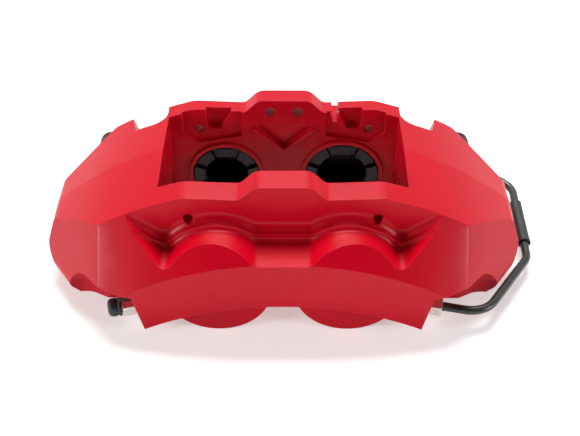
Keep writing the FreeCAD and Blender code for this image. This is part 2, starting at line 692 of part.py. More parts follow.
def bolt_washer(x, height, seat_y):
    outer = rod_y(BOLT_HEAD_RADIUS, x, height, seat_y, seat_y + WASHER_THICKNESS)
    return outer.cut(rod_y(BOLT_RADIUS + BOLT_HOLE_CLEARANCE, x, height, seat_y - 1, seat_y + 5))


# ---------------------------------------------------------------- hydraulic fittings
# Along a fitting's axis, distances start at the port's seat and grow outwards.

def bleed_screw(side):
    """A hollow screw with a cone at its tip, a hexagon and a barbed nipple."""
    thread = PORT_RADIUS - THREAD_FIT
    hex_end = FITTING_NECK_LENGTH + BLEED_HEX_LENGTH
    tip = 1 - PORT_DEPTH
    nipple_end = hex_end + BLEED_NIPPLE_LENGTH
    profile = [
        (tip, 0),
        (tip, BLEED_HOLE_RADIUS + 0.8),
        (tip + 2.5, thread),
        (0, thread),
        (0, thread - 0.5),
        (hex_end, thread - 0.5),
        (hex_end + 0.2, BLEED_NIPPLE_RADIUS),
        (nipple_end - 4, BLEED_NIPPLE_RADIUS),
        (nipple_end - 3.5, BLEED_BARB_RADIUS),
        (nipple_end - 1, BLEED_NIPPLE_RADIUS - 0.6),
        (nipple_end, BLEED_NIPPLE_RADIUS - 0.6),
        (nipple_end, BLEED_HOLE_RADIUS),
        (tip + 5, BLEED_HOLE_RADIUS),
        (tip + 5, 0),
    ]
    place = port_place(-1, side)
    outwards = port_axis(-1, side)
    screw = turned(profile, place, outwards)
    hexagon = hexagon_bar(HEX_ACROSS_FLATS, FITTING_NECK_LENGTH, BLEED_HEX_LENGTH, place, outwards)
    return screw.fuse(hexagon).removeSplitter()


def bleed_cap(side):
    """A rubber cap over the nipple, closed at its outer end."""
    hex_end = FITTING_NECK_LENGTH + BLEED_HEX_LENGTH
    start = hex_end + 0.3
    nipple_end = hex_end + BLEED_NIPPLE_LENGTH
    inner = BLEED_BARB_RADIUS + CAP_CLEARANCE
    end = nipple_end + CAP_CLEARANCE + CAP_END_WALL
    profile = [
        (start, inner),
        (start, CAP_RADIUS),
        (end - 1.6, CAP_RADIUS),
        (end - 0.5, CAP_RADIUS - 0.6),
        (end, CAP_RADIUS - 1.8),
        (end, 0),
        (end - CAP_END_WALL, 0),
        (end - CAP_END_WALL, inner),
    ]
    return turned(profile, port_place(-1, side), port_axis(-1, side))


def pipe_nut(side):
    """A hollow nut that holds the pipe's end in its port."""
    hole = PIPE_RADIUS + PIPE_CLEARANCE
    thread = PORT_RADIUS - THREAD_FIT
    profile = [
        (2 - PORT_DEPTH, hole),
        (2 - PORT_DEPTH, thread - 0.8),
        (2.8 - PORT_DEPTH, thread),
        (0, thread),
        (0, thread - 0.5),
        (FITTING_NECK_LENGTH + 0.5, thread - 0.5),
        (FITTING_NECK_LENGTH + 0.5, hole),
    ]
    place = port_place(1, side)
    outwards = port_axis(1, side)
    hexagon = hexagon_bar(HEX_ACROSS_FLATS, FITTING_NECK_LENGTH, NUT_HEX_LENGTH, place, outwards)
    hexagon = hexagon.cut(Part.makeCylinder(hole, FITTING_NECK_LENGTH + NUT_HEX_LENGTH + 1, place, outwards))
    return turned(profile, place, outwards).fuse(hexagon).removeSplitter()


def bent_path(corners):
    """Straight runs with tangent arcs through (x, y, z, radius) corners."""
    edges = []
    start = Vector(*corners[0][:3])
    for before, corner, after in zip(corners, corners[1:], corners[2:]):
        here = Vector(*corner[:3])
        back = (Vector(*before[:3]) - here).normalize()
        ahead = (Vector(*after[:3]) - here).normalize()
        half_angle = back.getAngle(ahead) / 2
        reach = corner[3] / math.tan(half_angle)
        first = here + back * reach
        last = here + ahead * reach
        bisector = (back + ahead).normalize()
        middle = here + bisector * (corner[3] / math.sin(half_angle) - corner[3])
        edges.append(Part.LineSegment(start, first).toShape())
        edges.append(Part.Arc(first, middle, last).toShape())
        start = last
    edges.append(Part.LineSegment(start, Vector(*corners[-1][:3])).toShape())
    return edges


def crossover_pipe():
    ends = []
    bends = []
    for side in (-1, 1):
        place = port_place(1, side)
        axis = port_axis(1, side)
        ends.append((*(place - axis * PIPE_INSERTION), 0))
        bends.append((*(place + axis * PIPE_STUB), PIPE_STUB_BEND))
    path = Part.Wire(bent_path([ends[0], bends[0], *PIPE_TURNS, bends[1], ends[1]]))
    tubes = []
    for radius in (PIPE_RADIUS, PIPE_BORE_RADIUS):
        ring = Part.makeCircle(radius, Vector(*ends[0][:3]), port_axis(1, -1))
        tubes.append(path.makePipeShell([Part.Wire(ring)], True, False))
    return tubes[0].cut(tubes[1])


def pipe_sleeve():
    """A soft sleeve on the straight run past the end of the caliper."""
    near = Vector(*PIPE_TURNS[0][:3])
    far = Vector(*PIPE_TURNS[1][:3])
    along = (far - near).normalize()
    start = near + along * ((SLEEVE_FROM_Y - near.y) / along.y)
    length = (SLEEVE_TO_Y - SLEEVE_FROM_Y) / along.y
    inner = PIPE_RADIUS + PIPE_CLEARANCE
    outer = inner + SLEEVE_WALL
    profile = [
        (0, inner),
        (0, outer - 0.4),
        (0.4, outer),
        (length - 0.4, outer),
        (length, outer - 0.4),
        (length, inner),
    ]
    return turned(profile, start, along)


# ---------------------------------------------------------------- writing the pieces

def write(name, shape):
    placed = shape.copy()
    placed.translate(Vector(0, -MOUNT_OFFSET, -MOUNT_FACE_HEIGHT))
    placed.exportStep(os.path.join("parts", name + ".step"))
    print(f"{name}: {len(placed.Solids)} solid, {placed.Volume / 1000:.2f} cm3, valid {placed.isValid()}")


os.makedirs("parts", exist_ok=True)
write("outboard_half", outboard_half())
write("inboard_half", inboard_half())

for side_name, side in (("outboard", -1), ("inboard", 1)):
    for size_name, x, radius in (("small", -PISTON_X, SMALL_RADIUS), ("large", PISTON_X, LARGE_RADIUS)):
        wiper = groove_ring(side, x, radius, WIPER_START, WIPER_WIDTH, WIPER_DEPTH)
        seal = groove_ring(side, x, radius, SEAL_START, SEAL_WIDTH, SEAL_DEPTH)
        write(f"piston_{side_name}_{size_name}", piston(side, x, radius))
        write(f"wiper_{side_name}_{size_name}", wiper)
        write(f"seal_{side_name}_{size_name}", seal)
    write(f"bleed_screw_{side_name}", bleed_screw(side))
    write(f"bleed_cap_{side_name}", bleed_cap(side))
    write(f"pipe_nut_{side_name}", pipe_nut(side))

inner_place, outer_place = bolt_places()
write("bridge_bolts_long", Part.makeCompound(both_sides(bridge_bolt(*inner_place))))
write("bridge_bolts_short", Part.makeCompound(both_sides(bridge_bolt(*outer_place))))
washers = both_sides(bolt_washer(*inner_place[:3])) + both_sides(bolt_washer(*outer_place[:3]))
write("bolt_washers", Part.makeCompound(washers))
write("crossover_pipe", crossover_pipe())
write("pipe_sleeve", pipe_sleeve())
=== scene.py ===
# %% [markdown]
# # A red four-piston brake caliper
# The engineering model of the caliper is already packed as a fixed frame: every piece has its
# real size and place, in metres. This lesson gives each piece its finish, adds the soft and the
# finely repeated details that such a caliper has, and then lights and frames it.

# %% Load the frame
import json
import math

import bmesh
import bpy
from mathutils import Matrix, Vector


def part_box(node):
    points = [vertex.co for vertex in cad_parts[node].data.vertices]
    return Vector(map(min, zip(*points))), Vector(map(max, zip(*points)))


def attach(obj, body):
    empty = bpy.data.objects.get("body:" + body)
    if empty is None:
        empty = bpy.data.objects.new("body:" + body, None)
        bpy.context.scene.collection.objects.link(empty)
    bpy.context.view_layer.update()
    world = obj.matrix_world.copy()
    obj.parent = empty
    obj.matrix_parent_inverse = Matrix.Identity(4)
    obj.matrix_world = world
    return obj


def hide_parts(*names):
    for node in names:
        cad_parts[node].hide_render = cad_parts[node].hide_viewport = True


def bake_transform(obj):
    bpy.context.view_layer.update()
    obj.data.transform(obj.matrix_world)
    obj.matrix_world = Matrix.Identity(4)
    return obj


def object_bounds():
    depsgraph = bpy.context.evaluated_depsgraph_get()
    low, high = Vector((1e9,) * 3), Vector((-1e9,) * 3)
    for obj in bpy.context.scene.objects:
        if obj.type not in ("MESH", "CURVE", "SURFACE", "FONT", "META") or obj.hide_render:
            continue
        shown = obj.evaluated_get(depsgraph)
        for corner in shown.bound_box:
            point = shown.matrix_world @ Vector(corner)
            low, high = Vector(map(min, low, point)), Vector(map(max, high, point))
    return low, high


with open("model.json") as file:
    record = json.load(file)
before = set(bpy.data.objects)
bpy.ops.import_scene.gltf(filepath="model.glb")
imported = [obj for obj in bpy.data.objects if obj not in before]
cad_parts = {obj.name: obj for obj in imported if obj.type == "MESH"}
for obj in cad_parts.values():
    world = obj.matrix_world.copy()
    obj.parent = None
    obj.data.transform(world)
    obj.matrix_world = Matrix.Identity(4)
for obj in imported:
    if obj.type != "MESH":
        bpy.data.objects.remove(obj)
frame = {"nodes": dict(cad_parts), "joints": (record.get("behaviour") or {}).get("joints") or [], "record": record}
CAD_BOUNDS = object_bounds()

MM = 0.001
nodes = frame["nodes"]

# %% [markdown]
# ## The camera
# The caliper is looked at from the front and well above, with a slightly long lens, so that the
# pad window, the stepped recess and the smooth band all show. The camera comes first, because
# every finish is judged from it.

# %% Camera
CAMERA_PLACE = Vector((4.6, -473.8, 390.1)) * MM
CAMERA_PITCH = math.radians(90 - 40.75)
CAMERA_TURN = math.radians(0.14)
CAMERA_LENS = 61.0


def add_object(name, data):
    """A new object with this data, in the scene."""
    made = bpy.data.objects.new(name, data)
    bpy.context.scene.collection.objects.link(made)
    return made


camera_data = bpy.data.cameras.new("camera")
camera_data.lens = CAMERA_LENS
camera_data.sensor_width = 36.0
camera_data.clip_start = 0.01
camera_data.clip_end = 50.0
camera = add_object("camera", camera_data)
camera.location = CAMERA_PLACE
camera.rotation_euler = (CAMERA_PITCH, 0.0, CAMERA_TURN)
bpy.context.scene.camera = camera
print("camera at", [round(v, 3) for v in CAMERA_PLACE])

# %% [markdown]
# ## Helpers for materials
# Colours are written as sRGB hex values, the way a paint chart gives them, and one function turns
# them into the linear values that the shader wants. Another small function adds a node with its
# settings and its links, so that each material reads as a list of what it is made of.

# %% Colour and node helpers
def linear(hex_code):
    """An sRGB hex colour as linear RGBA, by the curve of the sRGB standard."""
    channels = [int(hex_code[i:i + 2], 16) / 255 for i in (1, 3, 5)]
    return [c / 12.92 if c <= 0.04045 else ((c + 0.055) / 1.055) ** 2.4 for c in channels] + [1.0]


def add_node(tree, kind, settings=None, **inputs):
    """Adds a node. An input is a value, or (node, output) for a link; _6 is input number 6."""
    node = tree.nodes.new(kind)
    for name, value in (settings or {}).items():
        setattr(node, name, value)
    for name, value in inputs.items():
        key = int(name[1:]) if name[1:].isdigit() else name.replace("_", " ")
        if isinstance(value, tuple) and isinstance(value[0], bpy.types.Node):
            tree.links.new(value[0].outputs[value[1]], node.inputs[key])
        else:
            node.inputs[key].default_value = value
    return node


def new_material(name):
    """An empty node material, its tree, and a link to the place on the piece."""
    material = bpy.data.materials.new(name)
    material.use_nodes = True
    tree = material.node_tree
    tree.nodes.clear()
    return material, tree, (add_node(tree, "ShaderNodeTexCoord"), "Object")


def shade(node_name, material):
    """Gives a node of the frame its finish."""
    slots = nodes[node_name].data.materials
    slots.clear()
    slots.append(material)


print("a pure red is", [round(v, 3) for v in linear("#FF0000")])

# %% [markdown]
# ## Helpers for textures
# No real finish is the same all over: its colour and its gloss wander a little, and a fine relief
# breaks up the highlights. The same few nodes do that in every material here, so each has a short
# function, which returns a link that the next node can take.

# %% Texture helpers
NOISE_LOW, NOISE_HIGH = 0.3, 0.7
MIXED_COLOUR = 2


def noise(tree, vector, size_mm, detail, **inputs):
    """Noise with features size_mm across."""
    return add_node(tree, "ShaderNodeTexNoise", Vector=vector, Scale=1000.0 / size_mm,
                    Detail=detail, **inputs)


def mix_colours(tree, factor, first, second):
    mix = add_node(tree, "ShaderNodeMix", {"data_type": "RGBA"}, _0=factor, _6=first, _7=second)
    return mix, MIXED_COLOUR


def wandering_colour(tree, texture, first, second):
    """A colour that follows a texture from one hex colour to another."""
    return mix_colours(tree, (texture, "Fac"), linear(first), linear(second))


def wandering_gloss(tree, texture, smooth, rough):
    """A roughness that follows a texture; most noise lies from NOISE_LOW to NOISE_HIGH."""
    spread = add_node(tree, "ShaderNodeMapRange", Value=(texture, "Fac"),
                      From_Min=NOISE_LOW, From_Max=NOISE_HIGH, To_Min=smooth, To_Max=rough)
    return spread, "Result"


def soft_edges(tree, radius_mm, samples=6):
    """Normals that round every edge by radius_mm."""
    return add_node(tree, "ShaderNodeBevel", {"samples": samples}, Radius=radius_mm * MM), "Normal"


def relief(tree, texture, strength, depth_mm, **inputs):
    """Normals with a relief of depth_mm that follows a texture."""
    bump = add_node(tree, "ShaderNodeBump", Strength=strength, Distance=depth_mm * MM,
                    Height=(texture, "Fac"), **inputs)
    return bump, "Normal"


def surface(tree, **inputs):
    """Ends a material with the Principled shader."""
    shader = add_node(tree, "ShaderNodeBsdfPrincipled", **inputs)
    add_node(tree, "ShaderNodeOutputMaterial", Surface=(shader, "BSDF"))


print("most noise lies between", NOISE_LOW, "and", NOISE_HIGH)

# %% [markdown]
# ## Satin red coating
# The two halves are machined from aluminium, blasted, and coated in a satin red. To the eye that
# gives a deep, saturated red where the surface faces you, a hazy paler red at grazing angles, and
# a fine even texture that breaks up the highlights. Edges are softened by the blasting, so their
# rounded normals catch a line of light, and a lighter red is also painted along them as a painted
# highlight. A real coating's grain is too fine to show at this distance, so it is drawn coarser, at 0.7 mm.

# %% Satin red coating
RED = "#CE0020"
RED_DEEP = "#BE001A"
# The next colour is a painted highlight: a lighter red put along the edges.
RED_PAINTED_HIGHLIGHT = "#F02442"
COAT_GRAIN_MM = 0.7
COAT_CLOUD_MM = 45.0
COAT_SPECULAR = 0.2
EDGE_SOFTNESS_MM = 0.55
# Where the painted highlight on edges begins, where it is full, and how much of it is mixed in.
HIGHLIGHT_BEGINS, HIGHLIGHT_FULL = 0.995, 0.90
PAINTED_HIGHLIGHT_SHARE = 0.45


def satin_red_coating():
    """A satin red with a painted highlight along edges. An edge is where the rounded normal turns away from the
    flat one: their dot product falls.
    """
    material, tree, place = new_material("satin_red_coating")
    cloud = noise(tree, place, COAT_CLOUD_MM, detail=3.0)
    grain = noise(tree, place, COAT_GRAIN_MM, detail=2.0, Roughness=0.6)
    soft = soft_edges(tree, EDGE_SOFTNESS_MM, samples=8)
    flat = add_node(tree, "ShaderNodeNewGeometry")
    facing = add_node(tree, "ShaderNodeVectorMath", {"operation": "DOT_PRODUCT"},
                      _0=soft, _1=(flat, "Normal"))
    edge = add_node(tree, "ShaderNodeMapRange", Value=(facing, "Value"),
                    From_Min=HIGHLIGHT_BEGINS, From_Max=HIGHLIGHT_FULL, To_Max=PAINTED_HIGHLIGHT_SHARE)
    tone = wandering_colour(tree, cloud, RED_DEEP, RED)
    # The lighter red mixed in along the edges is a painted highlight.
    surface(tree, Base_Color=mix_colours(tree, (edge, "Result"), tone, linear(RED_PAINTED_HIGHLIGHT)),
            Roughness=wandering_gloss(tree, grain, smooth=0.30, rough=0.38),
            Normal=relief(tree, grain, strength=0.35, depth_mm=0.03, Normal=soft),
            Specular_IOR_Level=COAT_SPECULAR)
    return material


red_coating = satin_red_coating()
for name in ("outboard_half", "inboard_half"):
    shade(name, red_coating)
print("coated both halves")

# %% [markdown]
# ## Black hard-anodised pistons
# The pistons are turned from aluminium and hard-anodised almost black. Turning leaves very fine
# rings about the piston's own axis, so the ring pattern is centred on each piston with a Mapping
# node. A Wave texture of this scale puts its rings about 3 mm apart, much coarser than real, so
# that they show as a faint sheen.

# %% Black anodised
TURNING_SCALE = 100.0


def black_hard_anodised(name, centre):
    material, tree, place = new_material(name)
    about = add_node(tree, "ShaderNodeMapping", Vector=place, Location=-centre)
    rings = add_node(tree, "ShaderNodeTexWave", {"wave_type": "RINGS", "rings_direction": "Y"},
                     Vector=(about, "Vector"), Scale=TURNING_SCALE)
    dust = noise(tree, place, size_mm=3.0, detail=4.0)
    soft = soft_edges(tree, radius_mm=0.25)
    surface(tree, Base_Color=wandering_colour(tree, dust, "#0B0C0D", "#17191A"), Metallic=0.35,
            Roughness=wandering_gloss(tree, dust, smooth=0.34, rough=0.5),
            Normal=relief(tree, rings, strength=0.25, depth_mm=0.02, Normal=soft))
    return material


def middle(node_name):
    """The middle of a node's box."""
    low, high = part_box(node_name)
    return (low + high) / 2


PISTONS = [name for name in nodes if name.startswith("piston_")]
for name in PISTONS:
    finish_name = name.replace("piston_", "black_anodised_")
    shade(name, black_hard_anodised(finish_name, middle(name)))
print("anodised", len(PISTONS), "pistons")

# %% [markdown]
# ## Rubber
# Seals, wipers, bleed caps and the pipe's sleeve are EPDM rubber. It is a greenish near-black,
# never quite matt, with a dull bloom where it has been handled.

# %% EPDM rubber
def epdm_rubber():
    material, tree, place = new_material("epdm_rubber")
    bloom = noise(tree, place, size_mm=6.0, detail=5.0)
    grain = noise(tree, place, size_mm=0.5, detail=2.0)
    surface(tree, Base_Color=wandering_colour(tree, bloom, "#141716", "#262A29"),
            Roughness=wandering_gloss(tree, bloom, smooth=0.45, rough=0.62),
            Normal=relief(tree, grain, strength=0.3, depth_mm=0.03))
    return material


rubber = epdm_rubber()
RUBBER_KINDS = ("seal_", "wiper_", "bleed_cap_", "pipe_sleeve")
RUBBER_NODES = [name for name in nodes if name.startswith(RUBBER_KINDS)]
for name in RUBBER_NODES:
    shade(name, rubber)
print("rubber on", len(RUBBER_NODES), "nodes")

# %% [markdown]
# ## Zinc-plated steel
# Bleed screws, pipe nuts and washers are steel with bright zinc plating. It is a warm pale grey
# metal with a faint drawn grain, and its passivated layer gives cloudy patches of gloss. The grain
# is noise that a Mapping node stretches along X.

# %% Bright zinc plate
DRAWN_STRETCH = (0.06, 1.0, 1.0)


def bright_zinc_plate():
    material, tree, place = new_material("bright_zinc_plate")
    cloud = noise(tree, place, size_mm=4.0, detail=4.0)
    along = add_node(tree, "ShaderNodeMapping", Vector=place, Scale=DRAWN_STRETCH)
    drawn = noise(tree, (along, "Vector"), size_mm=0.4, detail=2.0)
    soft = soft_edges(tree, radius_mm=0.3)
    surface(tree, Base_Color=wandering_colour(tree, cloud, "#C9C3B6", "#EBE7DF"), Metallic=1.0,
            Roughness=wandering_gloss(tree, cloud, smooth=0.22, rough=0.38),
            Normal=relief(tree, drawn, strength=0.25, depth_mm=0.02, Normal=soft))
    return material


zinc = bright_zinc_plate()
ZINC_KINDS = ("bleed_screw", "pipe_nut", "bolt_washers")
ZINC_NODES = [name for name in nodes if name.startswith(ZINC_KINDS)]
for name in ZINC_NODES:
    shade(name, zinc)
print("zinc on", ZINC_NODES)

# %% [markdown]
# ## Black oxide and the pipe's coating
# The bridge bolts are alloy steel with a black oxide, which is oily, dark and slightly metallic.
# The crossover pipe is steel tube under a tough dark plastic coating: smoother and glossier than
# rubber, with scuffs that make it a little lighter in patches.

# %% Black oxide steel and coated tube
def black_oxide_steel():
    material, tree, place = new_material("black_oxide_steel")
    oil = noise(tree, place, size_mm=5.0, detail=4.0)
    surface(tree, Base_Color=wandering_colour(tree, oil, "#1B1C1E", "#333538"), Metallic=0.8,
            Roughness=wandering_gloss(tree, oil, smooth=0.3, rough=0.5),
            Normal=soft_edges(tree, radius_mm=0.4))
    return material


def coated_tube():
    material, tree, place = new_material("coated_steel_tube")
    scuff = noise(tree, place, size_mm=9.0, detail=5.0)
    grain = noise(tree, place, size_mm=0.8, detail=2.0)
    surface(tree, Base_Color=wandering_colour(tree, scuff, "#171B1A", "#2B302E"),
            Roughness=wandering_gloss(tree, scuff, smooth=0.26, rough=0.4),
            Normal=relief(tree, grain, strength=0.2, depth_mm=0.03))
    return material


black_oxide = black_oxide_steel()
for name in ("bridge_bolts_long", "bridge_bolts_short"):
    shade(name, black_oxide)
shade("crossover_pipe", coated_tube())
print("bolts and pipe finished")

# %% [markdown]
# ## Smooth shading on the frame's pieces
# A piece of the frame arrives as loose triangles, so each facet would catch the light by itself.
# A small Geometry Nodes tree joins the corners that meet, shades the faces smooth, and keeps an
# edge sharp where the surface turns by more than a given angle. It is a modifier, so the piece
# itself stays as it was made.

# %% Smooth by angle
SHARP_ANGLE = math.radians(28)
JOIN_DISTANCE = 0.002 * MM
SOCKET_KINDS = {float: "NodeSocketFloat", int: "NodeSocketInt"}


def geometry_tree(name, sizes):
    """A Geometry Nodes tree with a named input for each size, and its input node."""
    tree = bpy.data.node_groups.new(name, "GeometryNodeTree")
    tree.is_modifier = True
    sockets = tree.interface
    sockets.new_socket("Geometry", in_out="INPUT", socket_type="NodeSocketGeometry")
    for label, value in sizes.items():
        socket = sockets.new_socket(label, in_out="INPUT", socket_type=SOCKET_KINDS[type(value)])
        socket.default_value = value
    sockets.new_socket("Geometry", in_out="OUTPUT", socket_type="NodeSocketGeometry")
    return tree, add_node(tree, "NodeGroupInput")


def smooth_tree():
    tree, start = geometry_tree("join_and_smooth", {"Sharp angle": SHARP_ANGLE})
    joined = add_node(tree, "GeometryNodeMergeByDistance", Geometry=(start, "Geometry"),
                      Distance=JOIN_DISTANCE)
    round_faces = add_node(tree, "GeometryNodeSetShadeSmooth", {"domain": "FACE"},
                           Geometry=(joined, "Geometry"), Shade_Smooth=True)
    turn = add_node(tree, "GeometryNodeInputMeshEdgeAngle")
    gentle = add_node(tree, "FunctionNodeCompare", {"operation": "LESS_THAN"},
                      A=(turn, "Unsigned Angle"), B=(start, "Sharp angle"))
    edges = add_node(tree, "GeometryNodeSetShadeSmooth", {"domain": "EDGE"},
                     Geometry=(round_faces, "Geometry"), Shade_Smooth=(gentle, "Result"))
    add_node(tree, "NodeGroupOutput", Geometry=(edges, "Geometry"))
    return tree


join_and_smooth = smooth_tree()
for obj in nodes.values():
    modifier = obj.modifiers.new("join_and_smooth", "NODES")
    modifier.node_group = join_and_smooth
print("smoothed", len(nodes), "nodes at", round(math.degrees(SHARP_ANGLE)), "degrees")

# %% [markdown]
# ## Knurled bolt heads
# A socket-head bolt has fine straight knurling round its head. It repeats, so Geometry Nodes make
# it: one small ridge is put on each point of a circle, and the copies are made real. A ridge is a
# thin six-sided rod, so it needs no turning to face outwards. The same tree serves every head,
# with its sizes as named inputs.

# %% Knurl tree
HEAD_RADIUS = 8.0 * MM
HEAD_HEIGHT = 10.0 * MM
KNURL_STAND = 0.12 * MM
KNURL_RADIUS = 0.42 * MM
KNURL_SIDES = 6
KNURL_SIZES = {
    "Head radius": HEAD_RADIUS + KNURL_STAND - KNURL_RADIUS,
    "Ridge length": 7.4 * MM,
    "Ridge radius": KNURL_RADIUS,
    "Ridges": 44,
}


def finish_tree(tree, shape, material):
    """Ends a tree: copies made real, and the material set."""
    real = add_node(tree, "GeometryNodeRealizeInstances", Geometry=shape)
    painted = add_node(tree, "GeometryNodeSetMaterial", Geometry=(real, "Geometry"),
                       Material=material)
    add_node(tree, "NodeGroupOutput", Geometry=(painted, "Geometry"))
    return tree


def knurl_tree(material):
    tree, start = geometry_tree("knurled_ring", KNURL_SIZES)
    ring = add_node(tree, "GeometryNodeMeshCircle", Vertices=(start, "Ridges"),
                    Radius=(start, "Head radius"))
    ridge = add_node(tree, "GeometryNodeMeshCylinder", Vertices=KNURL_SIDES,
                     Radius=(start, "Ridge radius"), Depth=(start, "Ridge length"))
    copies = add_node(tree, "GeometryNodeInstanceOnPoints", Points=(ring, "Mesh"),
                      Instance=(ridge, "Mesh"))
    return finish_tree(tree, (copies, "Instances"), material)


knurls = knurl_tree(black_oxide)
print("knurl tree with", len(knurls.nodes), "nodes")

# %% [markdown]
# ## From a tree to a piece
# A tree needs an object to run on, and an empty mesh will do. The result is taken from Blender's
# evaluated scene as a plain mesh, and the empty object is thrown away. The four heads stand on
# one body, so their knurls are joined into one piece.

# %% Knurls on the four heads
def evaluated_mesh(obj):
    """An object's mesh as its modifiers leave it; the object itself is removed."""
    bpy.context.view_layer.update()
    graph = bpy.context.evaluated_depsgraph_get()
    mesh = bpy.data.meshes.new_from_object(obj.evaluated_get(graph))
    bpy.data.objects.remove(obj)
    return mesh


def grow(tree, name, sizes):
    """Runs a tree on an empty mesh and returns the result as a plain mesh object."""
    seed = add_object(name + "_seed", bpy.data.meshes.new(name + "_seed"))
    modifier = seed.modifiers.new(name, "NODES")
    modifier.node_group = tree
    for item in tree.interface.items_tree:
        if item.in_out == "INPUT" and item.name in sizes:
            modifier[item.identifier] = sizes[item.name]
    return add_object(name, evaluated_mesh(seed))


def join(parts, name):
    """Joins mesh objects with the same material slots; a grown mesh has an empty one first."""
    mesh = bpy.data.meshes.new(name)
    builder = bmesh.new()
    for part in parts:
        builder.from_mesh(part.data)
    builder.to_mesh(mesh)
    builder.free()
    for material in parts[0].data.materials:
        mesh.materials.append(material)
    for part in parts:
        bpy.data.objects.remove(part)
    return add_object(name, mesh)


QUARTER_TURN = Matrix.Rotation(math.pi / 2, 4, "X")
heads = []
for node_name in ("bridge_bolts_long", "bridge_bolts_short"):
    low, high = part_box(node_name)
    for side in (-1, 1):
        head = grow(knurls, node_name + "_knurl", KNURL_SIZES)
        centre = Vector((side * (high.x - HEAD_RADIUS), high.y - HEAD_HEIGHT / 2,
                         (low.z + high.z) / 2))
        head.data.transform(Matrix.Translation(centre) @ QUARTER_TURN)
        heads.append(head)
knurling = join(heads, "bolt_head_knurling")
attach(knurling, "root")
print("knurling has", len(knurling.data.polygons), "faces")

# %% [markdown]
# ## The thread in the hose inlet
# The inlet is tapped for a brake hose. A thread is a helix, so a Geometry Nodes spiral carries a
# small triangular section round the hole's wall, at the 1 mm pitch of such a fitting. The coating
# is masked off here, so the thread is bare, freshly cut aluminium.

# %% Inlet thread
INLET_RADIUS = 5.0 * MM
THREAD_PITCH = 1.0 * MM
THREAD_DEPTH = 0.5 * MM
THREAD_LENGTH = 9.0 * MM
THREAD_INSET = 0.12 * MM
MOUTH_INSET = 0.8 * MM
POINTS_PER_TURN = 40
THREAD_SIZES = {
    "Radius": INLET_RADIUS - THREAD_INSET,
    "Length": THREAD_LENGTH,
    "Turns": THREAD_LENGTH / THREAD_PITCH,
    "Depth": THREAD_DEPTH * 0.6,
}


def thread_tree(material):
    tree, start = geometry_tree("helical_thread", THREAD_SIZES)
    helix = add_node(tree, "GeometryNodeCurveSpiral", Resolution=POINTS_PER_TURN,
                     Rotations=(start, "Turns"), Start_Radius=(start, "Radius"),
                     End_Radius=(start, "Radius"), Height=(start, "Length"))
    section = add_node(tree, "GeometryNodeCurvePrimitiveCircle", Resolution=3,
                       Radius=(start, "Depth"))
    tube = add_node(tree, "GeometryNodeCurveToMesh", Curve=(helix, "Curve"),
                    Profile_Curve=(section, "Curve"), Fill_Caps=True)
    return finish_tree(tree, (tube, "Mesh"), material)


def bare_aluminium():
    material, tree, place = new_material("bare_cut_aluminium")
    cloud = noise(tree, place, size_mm=2.0, detail=3.0)
    surface(tree, Base_Color=linear("#B9BBBE"), Metallic=1.0,
            Roughness=wandering_gloss(tree, cloud, smooth=0.25, rough=0.4))
    return material


inlet = next(mount for mount in frame["record"]["mounts"] if mount["name"] == "inlet_port")
mouth = Vector(inlet["pos_m"]) - Vector((0, MOUTH_INSET, 0))
thread = grow(thread_tree(bare_aluminium()), "inlet_thread", THREAD_SIZES)
thread.data.transform(Matrix.Translation(mouth) @ QUARTER_TURN)
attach(thread, "root")
print("thread has", len(thread.data.polygons), "faces")

# %% [markdown]
# ## Bleed caps with their tethers
# The rubber cap over each bleed nipple is one moulding with a ring that is trapped on the screw's
# neck, and a strap between them, so that the cap can't be lost when it is pulled off. The cap and
# the ring are turned shapes, the strap is a swept one, and a fine voxel remesh melts the three
# into a single rubber moulding with soft joints.

# %% Turned and swept rubber
TURN_STEPS = 48


def turned_mesh(builder, profile):
    """A closed turned form about the X axis: (along, radius) points."""
    rings = []
    for along, radius in profile:
        ring = []
        for step in range(TURN_STEPS):
            angle = 2 * math.pi * step / TURN_STEPS
            point = (along, radius * math.cos(angle), radius * math.sin(angle))
            ring.append(builder.verts.new(point))
        rings.append(ring)
    for first, second in zip(rings, rings[1:] + rings[:1]):
        for step in range(TURN_STEPS):
            after = (step + 1) % TURN_STEPS
            builder.faces.new((first[step], first[after], second[after], second[step]))


def strap_mesh(builder, path, width, thickness):
    """A flat strap along (along, height) points above the X axis."""
    rows = []
    for along, height in path:
        row = []
        for across, up in ((-1, -1), (1, -1), (1, 1), (-1, 1)):
            point = (along, across * width / 2, height + up * thickness / 2)
            row.append(builder.verts.new(point))
        rows.append(row)
    for first, second in zip(rows, rows[1:]):
        for corner in range(4):
            after = (corner + 1) % 4
            builder.faces.new((first[corner], first[after], second[after], second[corner]))
    builder.faces.new(rows[0])
    builder.faces.new(list(reversed(rows[-1])))


print("turned forms have", TURN_STEPS, "sides")

# %% [markdown]
# ## The shape of a cap
# The mouth has a bead and a groove behind it, to pull the cap off by, and the far end is a dome.
# The outlines are pairs in mm: how far along, and how far inside the surface lies. Those of the
# dome are counted back from its tip.

# %% Cap, ring and strap outlines
CAP_WALL = 1.3 * MM
DOME_WALL = 1.1 * MM
AXIS_GAP = 0.02 * MM
MOUTH_OUTLINE = ((0, 0.3), (0.4, 0), (1.5, 0), (1.9, 0.5), (2.6, 0.5), (3.0, 0.15))
DOME_OUTLINE = ((2.2, 0.25), (0.9, 0.8), (0.1, 2.4))
DOME_INSIDE = ((1.3, 0.4), (1.8, 0))
RING_WIDTH = 2.6 * MM
RING_RADIUS = 5.5 * MM
NECK_RADIUS = 4.45 * MM
HEX_CORNER = 5.8 * MM
HEX_LENGTH = 7.0 * MM
HEX_TO_MOUTH = 0.3 * MM
HEX_TO_RING = 0.6 * MM
RING_END = -(HEX_LENGTH + HEX_TO_MOUTH) - HEX_TO_RING
RING_START = RING_END - RING_WIDTH
STRAP_WIDTH = 4.2 * MM
STRAP_THICKNESS = 1.0 * MM
STRAP_TOP = HEX_CORNER + 0.9 * MM


